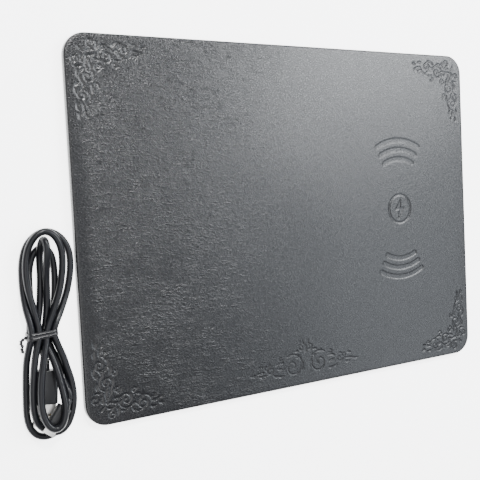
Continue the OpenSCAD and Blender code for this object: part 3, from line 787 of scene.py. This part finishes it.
# %% Press the marks
CORNER_DEPTH, MIDDLE_DEPTH, MARK_DEPTH = 0.32, 0.2, 0.3
SCROLL_WALL, MARK_WALL, SWELL, FLAT_RIM = 0.6, 0.7, 0.05, 8
points = get_points(skin)
top = np.nonzero(points[:, 2] > TOP_Z - 0.01)[0]
xy = points[top, :2]
scroll = np.array([near_scrolls(x, y) for x, y in xy])
scroll_depth = np.where(np.abs(xy[:, 0]) < HALF_L / 2, MIDDLE_DEPTH, CORNER_DEPTH)
depth = scroll_depth * pressed(scroll, SCROLL_WALL)
depth = np.maximum(depth, MARK_DEPTH * pressed(mark_distance(xy), MARK_WALL))
swell = SWELL * np.exp(-np.clip(scroll - 0.5, 0, 9) ** 2 / 0.8)
x, y = xy[:, 0], xy[:, 1]
inner = (np.clip((HALF_L - EDGE - np.abs(x)) / FLAT_RIM, 0, 1)
         * np.clip((HALF_W - EDGE - np.abs(y)) / FLAT_RIM, 0, 1))
wave = 0.07 * np.sin(x / 17 + 0.6 * np.sin(y / 23)) + 0.05 * np.sin(y / 13 + 1.1 * np.sin(x / 31))
points[top, 2] += inner * (wave + swell) - depth
set_points(skin, points)
smooth(skin, 50)
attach(skin, "pad")
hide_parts("top_cover")
print("leather pressed; deepest", round(float(depth.max()), 2), "mm")

# %% [markdown]
# ## Finishes
# Every finish is a Principled shader. What varies over a surface, such as grain, is worked out
# by texture nodes from the object's own coordinates; what is the same everywhere is set on the
# shader itself. A few short helpers cover the wiring.

# %% Wiring helpers
def finish_base(name, colour, roughness, metallic=0.0):
    finish = bpy.data.materials.new(name)
    finish.use_nodes = True
    shader = finish.node_tree.nodes["Principled BSDF"]
    shader.inputs["Base Color"].default_value = (*colour, 1)
    shader.inputs["Roughness"].default_value = roughness
    shader.inputs["Metallic"].default_value = metallic
    shader.inputs["Specular IOR Level"].default_value = 0.4
    return finish, shader


def add(finish, kind, inputs=(), **settings):
    node = finish.node_tree.nodes.new(kind)
    for key, value in settings.items():
        setattr(node, key, value)
    for key, value in dict(inputs).items():
        if isinstance(value, bpy.types.NodeSocket):
            finish.node_tree.links.new(value, node.inputs[key])
        else:
            node.inputs[key].default_value = value
    return node


def place(finish, stretch=(1, 1, 1), turn=0.0):
    spot = add(finish, "ShaderNodeTexCoord").outputs["Object"]
    mapping = add(finish, "ShaderNodeMapping", {"Vector": spot, "Scale": stretch,
                                                "Rotation": (0, 0, turn)})
    return mapping.outputs["Vector"]


def spread(finish, value, low, high, to_low, to_high):
    node = add(finish, "ShaderNodeMapRange", {"Value": value, "From Min": low, "From Max": high,
                                              "To Min": to_low, "To Max": to_high})
    return node.outputs["Result"]


def sums(finish, operation, first, second=0.0):
    return add(finish, "ShaderNodeMath", {0: first, 1: second}, operation=operation).outputs[0]


def relief(finish, shader, height, depth_mm, strength=1.0, below=None):
    inputs = {"Height": height, "Distance": depth_mm * MM, "Strength": strength}
    if below is not None:
        inputs["Normal"] = below
    bump = add(finish, "ShaderNodeBump", inputs)
    finish.node_tree.links.new(bump.outputs["Normal"], shader.inputs["Normal"])
    return bump.outputs["Normal"]


def dress(piece, finish):
    piece.data.materials.clear()
    piece.data.materials.append(finish)


print("finish helpers are ready")

# %% [markdown]
# Imitation leather has pebbles about a millimetre wide between fine furrows, and wrinkles that
# run along the mat and catch the light. The pebbles are Voronoi cells, shaken by noise so that
# they don't look drawn. The wrinkles lie along the middle line of a stretched noise. They are
# strongest towards the left, where the sheet was bent, gone at the right, and fade at the rim
# and in the corners, where the press has flattened them.

# %% Leather
PEBBLES_PER_METRE, SHAKE, RELIEF_MM = 900, 0.0013, 0.17
WRINKLE_WEIGHT, LEATHER_ROUGHNESS = 1.7, 0.275


def wrinkle_lines(finish, spot, stretch, turn, scale, width):
    turned = add(finish, "ShaderNodeMapping", {"Vector": spot, "Scale": (stretch, 1, 1),
                                               "Rotation": (0, 0, turn)})
    noise = add(finish, "ShaderNodeTexNoise", {"Vector": turned.outputs[0], "Scale": scale,
                                               "Detail": 2, "Distortion": 0.8})
    line = sums(finish, "ABSOLUTE", sums(finish, "SUBTRACT", noise.outputs["Fac"], 0.5))
    return spread(finish, line, 0.0, width, 0, 1)


def black_leather():
    finish, shader = finish_base("black_leather", (0.003, 0.0032, 0.004), 0.36)
    shader.inputs["Specular IOR Level"].default_value = 0.45
    spot = place(finish)
    shake = add(finish, "ShaderNodeTexNoise", {"Vector": spot, "Scale": 520, "Detail": 3})
    shaken = add(finish, "ShaderNodeMix",
                 {"Factor": SHAKE, "A": spot, "B": shake.outputs["Color"]}, data_type="VECTOR")
    wide = add(finish, "ShaderNodeMapping", {"Vector": shaken.outputs[1], "Scale": (0.7, 1, 1)})
    pebbles = add(finish, "ShaderNodeTexVoronoi",
                  {"Vector": wide.outputs[0], "Scale": PEBBLES_PER_METRE},
                  feature="DISTANCE_TO_EDGE")
    pebble = spread(finish, pebbles.outputs["Distance"], 0.0, 0.2, 0, 1)
    coarse = wrinkle_lines(finish, spot, 0.2, 0.08, 330, 0.13)
    fine = wrinkle_lines(finish, spot, 0.3, -0.14, 620, 0.2)
    wrinkle = sums(finish, "MULTIPLY", coarse, fine)
    split = add(finish, "ShaderNodeSeparateXYZ", {"Vector": spot})
    patches = add(finish, "ShaderNodeTexNoise", {"Vector": spot, "Scale": 22, "Detail": 3})
    wander = spread(finish, patches.outputs["Fac"], 0.3, 0.7, -0.012, 0.012)
    reach = sums(finish, "ADD", split.outputs["X"], wander)
    leftness = spread(finish, reach, 0.0, -0.11, 0, 1)
    sideways = sums(finish, "ABSOLUTE", split.outputs["X"])
    upwards = sums(finish, "ABSOLUTE", split.outputs["Y"])
    cornered = sums(finish, "ADD", sums(finish, "DIVIDE", sideways, pad_high.x),
                    sums(finish, "DIVIDE", upwards, pad_high.y))
    corner_fade = spread(finish, cornered, 1.5, 1.62, 1, 0.2)
    rim = sums(finish, "MULTIPLY", corner_fade,
               spread(finish, split.outputs["X"], -0.144, -0.138, 0.15, 1))
    clumps = add(finish, "ShaderNodeTexNoise", {"Vector": place(finish, (0.5, 1, 1), 0.1),
                                                "Scale": 60, "Detail": 2})
    clump = spread(finish, clumps.outputs["Fac"], 0.38, 0.62, 0.55, 1)
    amount = sums(finish, "MULTIPLY", sums(finish, "MULTIPLY", leftness, rim), clump)
    weight = sums(finish, "MULTIPLY", amount, WRINKLE_WEIGHT)
    height = sums(finish, "ADD",
                  sums(finish, "MULTIPLY", pebble, spread(finish, amount, 0, 1, 0.2, 0.34)),
                  sums(finish, "MULTIPLY", wrinkle, weight))
    relief(finish, shader, height, RELIEF_MM)
    rough = sums(finish, "ADD", spread(finish, pebble, 0, 1, 0.04, -0.03), LEATHER_ROUGHNESS)
    finish.node_tree.links.new(rough, shader.inputs["Roughness"])
    # The base colour is darker in the furrows between the pebbles than on their tops: this is
    # painted shade in the furrows.
    tone = add(finish, "ShaderNodeValToRGB", {"Fac": pebble})
    tone.color_ramp.elements[0].color = (0.0015, 0.0016, 0.0022, 1)
    tone.color_ramp.elements[1].color = (0.0035, 0.0037, 0.005, 1)
    finish.node_tree.links.new(tone.outputs["Color"], shader.inputs["Base Color"])
    return finish


dress(skin, black_leather())
print("leather is on")

# %% [markdown]
# The cable's jacket is smooth soft plastic with a faint unevenness from being folded. The grips
# are moulded with a fine satin texture. The tie is shinier ribbon.

# %% Cable, grips and tie
def grained_plastic(name, colour, roughness, grain_scale, grain_mm, wander=0.06, shine=0.4):
    finish, shader = finish_base(name, colour, roughness)
    shader.inputs["Specular IOR Level"].default_value = shine
    spot = place(finish)
    grain = add(finish, "ShaderNodeTexNoise", {"Vector": spot, "Scale": grain_scale, "Detail": 3})
    relief(finish, shader, grain.outputs["Fac"], grain_mm)
    smears = add(finish, "ShaderNodeTexNoise", {"Vector": spot, "Scale": 90, "Detail": 2})
    rough = spread(finish, smears.outputs["Fac"], 0.3, 0.7, roughness - wander, roughness + wander)
    finish.node_tree.links.new(rough, shader.inputs["Roughness"])
    low = tuple(0.8 * c for c in colour)
    tone = add(finish, "ShaderNodeValToRGB", {"Fac": smears.outputs["Fac"]})
    tone.color_ramp.elements[0].position, tone.color_ramp.elements[1].position = 0.35, 0.65
    tone.color_ramp.elements[0].color = (*low, 1)
    tone.color_ramp.elements[1].color = (*colour, 1)
    finish.node_tree.links.new(tone.outputs["Color"], shader.inputs["Base Color"])
    return finish


dress(cable, grained_plastic("cable_jacket", (0.005, 0.0053, 0.007), 0.33, 500, 0.002, 0.02, 0.24))
grip_finish = grained_plastic("grip_moulding", (0.009, 0.0095, 0.011), 0.42, 2600, 0.02)
dress(large_grip, grip_finish)
dress(small_grip, grip_finish)
dress(tie, grained_plastic("tie_ribbon", (0.006, 0.006, 0.0075), 0.34, 1500, 0.012))
print("cable finishes are on")

# %% [markdown]
# Plated steel is a metal with faint drawing lines; gold contacts are the same without lines.

# %% Metals
def drawn_metal(name, colour, roughness, line_mm):
    finish, shader = finish_base(name, colour, roughness, 1.0)
    lines = add(finish, "ShaderNodeTexNoise", {"Vector": place(finish, (1, 0.08, 1)),
                                               "Scale": 5200, "Detail": 2})
    relief(finish, shader, lines.outputs["Fac"], line_mm)
    marks = add(finish, "ShaderNodeTexNoise", {"Vector": place(finish), "Scale": 260, "Detail": 3})
    rough = spread(finish, marks.outputs["Fac"], 0.3, 0.7, roughness - 0.05, roughness + 0.08)
    finish.node_tree.links.new(rough, shader.inputs["Roughness"])
    return finish


steel = drawn_metal("plated_steel", (0.86, 0.85, 0.82), 0.34, 0.004)
gold = drawn_metal("gold_plating", (0.83, 0.62, 0.26), 0.22, 0.002)
for shell in (large_shell, small_shell):
    dress(shell, steel)
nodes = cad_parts
for name in ("usb_socket_shell", "micro_plug_latches"):
    dress(nodes[name], steel)
for name in ("usb_socket_contacts", "usb_plug_contacts", "micro_plug_contacts"):
    dress(nodes[name], gold)
print("metals are on")

# %% [markdown]
# The parts inside the mat are seen only when it is opened, but each has its real finish. The
# board is pressed fibre, drawn by a stretched noise. The base is soft rubber with rows of small
# dimples, which a Voronoi texture without randomness sets out evenly.

# %% Board and base
def fibre_board():
    finish, shader = finish_base("pressed_fibre", (0.6, 0.48, 0.33), 0.85)
    fibres = add(finish, "ShaderNodeTexNoise", {"Vector": place(finish, (1, 3, 1)), "Scale": 600,
                                                "Detail": 6, "Roughness": 0.7})
    tone = add(finish, "ShaderNodeValToRGB", {"Fac": fibres.outputs["Fac"]})
    tone.color_ramp.elements[0].color = (0.4, 0.3, 0.19, 1)
    tone.color_ramp.elements[1].color = (0.7, 0.58, 0.42, 1)
    finish.node_tree.links.new(tone.outputs["Color"], shader.inputs["Base Color"])
    relief(finish, shader, fibres.outputs["Fac"], 0.05)
    return finish


def base_rubber():
    finish, shader = finish_base("base_rubber", (0.02, 0.02, 0.021), 0.75)
    spot = place(finish, (1, 1, 1), math.pi / 4)
    cells = add(finish, "ShaderNodeTexVoronoi", {"Vector": spot, "Scale": 520, "Randomness": 0.0},
                feature="F1")
    dimple = spread(finish, cells.outputs["Distance"], 0.15, 0.45, 0, 1)
    relief(finish, shader, dimple, 0.18)
    # The colour is darker at the bottoms of the dimples than on the flats between them: painted
    # shade in the recesses.
    tone = add(finish, "ShaderNodeValToRGB", {"Fac": dimple})
    tone.color_ramp.elements[0].color = (0.013, 0.013, 0.014, 1)
    tone.color_ramp.elements[1].color = (0.03, 0.03, 0.031, 1)
    finish.node_tree.links.new(tone.outputs["Color"], shader.inputs["Base Color"])
    return finish


dress(nodes["core_board"], fibre_board())
dress(nodes["base_sheet"], base_rubber())
print("board and base are on")

# %% [markdown]
# The coil is wound of fine copper strands, which show as slanting lines. The board is green
# solder mask over a grid of tracks. The small parts share one grained finish in their colours,
# because at their size a colour and a fine grain say all that can be seen.

# %% Winding, ferrite and electronics
def copper_strands():
    finish, shader = finish_base("copper_strands", (0.72, 0.36, 0.17), 0.35, 1.0)
    strands = add(finish, "ShaderNodeTexWave", {"Vector": place(finish, (1, 1, 1), 0.6),
                                                "Scale": 900, "Distortion": 2, "Detail": 2})
    relief(finish, shader, strands.outputs["Fac"], 0.03)
    return finish


def solder_mask():
    finish, shader = finish_base("solder_mask", (0.02, 0.16, 0.07), 0.3)
    tracks = add(finish, "ShaderNodeTexBrick", {"Vector": place(finish), "Scale": 300,
                                                "Mortar Size": 0.08})
    tracks.inputs["Color1"].default_value = (0.015, 0.13, 0.055, 1)
    tracks.inputs["Color2"].default_value = (0.02, 0.16, 0.07, 1)
    tracks.inputs["Mortar"].default_value = (0.05, 0.26, 0.12, 1)
    finish.node_tree.links.new(tracks.outputs["Color"], shader.inputs["Base Color"])
    relief(finish, shader, tracks.outputs["Fac"], 0.02)
    return finish


copper, mask = copper_strands(), solder_mask()
ferrite = grained_plastic("matt_ferrite", (0.04, 0.04, 0.043), 0.7, 1800, 0.02)
chip = grained_plastic("moulded_chip", (0.022, 0.022, 0.024), 0.55, 3000, 0.008)
ceramic = grained_plastic("tan_ceramic", (0.5, 0.34, 0.2), 0.5, 2000, 0.01)
insulator_white = grained_plastic("white_insulator", (0.8, 0.8, 0.78), 0.4, 1500, 0.005)
insulator_black = grained_plastic("black_insulator", (0.02, 0.02, 0.022), 0.45, 1500, 0.005)
finishes = {
    copper: ("transmit_coil", "coil_leads"),
    mask: ("circuit_board",),
    ferrite: ("ferrite_shield", "input_choke"),
    chip: ("controller_chip", "bridge_transistors", "chip_resistors"),
    ceramic: ("resonant_capacitors", "input_capacitors"),
    insulator_white: ("usb_plug_tongue",),
    insulator_black: ("usb_socket_tongue", "micro_plug_tongue", "port_bezel"),
    grained_plastic("adhesive_ring", (0.75, 0.72, 0.6), 0.6, 900, 0.02): ("coil_adhesive",),
    grained_plastic("sensor_bead", (0.05, 0.2, 0.1), 0.25, 900, 0.005): ("temperature_sensor",),
    grained_plastic("amber_film", (0.55, 0.27, 0.04), 0.25, 700, 0.004): ("insulating_film",),
    grained_plastic("led_lens", (0.8, 0.83, 0.78), 0.25, 900, 0.003): ("status_led",),
}
for finish, names in finishes.items():
    for name in names:
        dress(nodes[name], finish)
print("inner finishes:", len(finishes))

# %% [markdown]
# ## Table and light
# A pale light table carries the mat: it glows of its own, so it stays white without a strong
# lamp that the leather would mirror. A large soft light stands beyond the mat's right end: the
# leather mirrors it as the grey sheen that fades towards the left, and a smaller, brighter one
# lifts the sheen towards the far corner. A small light beyond the far left edge makes the
# wrinkles glint, and a wide weak one overhead gives soft shadows.

# %% Table
TABLE_GLOW = 3.6
start_fresh()
bpy.ops.mesh.primitive_plane_add(size=6, location=(0, 0, -0.0001))
floor = named("table")
floor_finish, floor_shader = finish_base("pale_table", (0.93, 0.93, 0.93), 0.9)
floor_shader.inputs["Emission Color"].default_value = (1, 1, 1, 1)
floor_shader.inputs["Emission Strength"].default_value = TABLE_GLOW
dress(floor, floor_finish)
print("table is", floor.dimensions.x, "m wide")

# %% [markdown]
# Each light is a rectangle aimed at the mat, because a soft edge to the light gives leather its
# gentle sheen. The sky adds a little even light, so that no side of the mat goes black.

# %% Light
SKY_STRENGTH = 0.5


def soft_light(name, place_at, aim, width, height, watts, tint=(1, 1, 1)):
    start_fresh()
    bpy.ops.object.light_add(type="AREA", location=place_at)
    light = bpy.context.object
    light.name = name
    light.data.shape = "RECTANGLE"
    light.data.size, light.data.size_y = width, height
    light.data.energy = watts
    light.data.color = tint
    direction = Vector(aim) - Vector(place_at)
    light.rotation_euler = direction.to_track_quat("-Z", "Y").to_euler()
    return light


soft_light("sheen", (0.86, -0.04, 0.9), (0.05, 0, 0), 1.15, 0.56, 8.4, (0.88, 0.94, 1))
soft_light("bright sheen", (0.76, 0.42, 0.86), (0.03, 0.08, 0), 0.5, 0.64, 15, (0.96, 0.98, 1))
soft_light("glints", (-0.04, 0.77, 1.02), (-0.1, 0.06, 0), 0.16, 0.16, 20)
soft_light("overhead", (-0.8, -0.4, 2.4), (-0.05, 0, 0), 2.4, 2.4, 50)
world = bpy.data.worlds.new("studio")
bpy.context.scene.world = world
world.use_nodes = True
world.node_tree.nodes["Background"].inputs["Color"].default_value = (0.93, 0.95, 1, 1)
world.node_tree.nodes["Background"].inputs["Strength"].default_value = SKY_STRENGTH
print("four soft lights and an even sky")
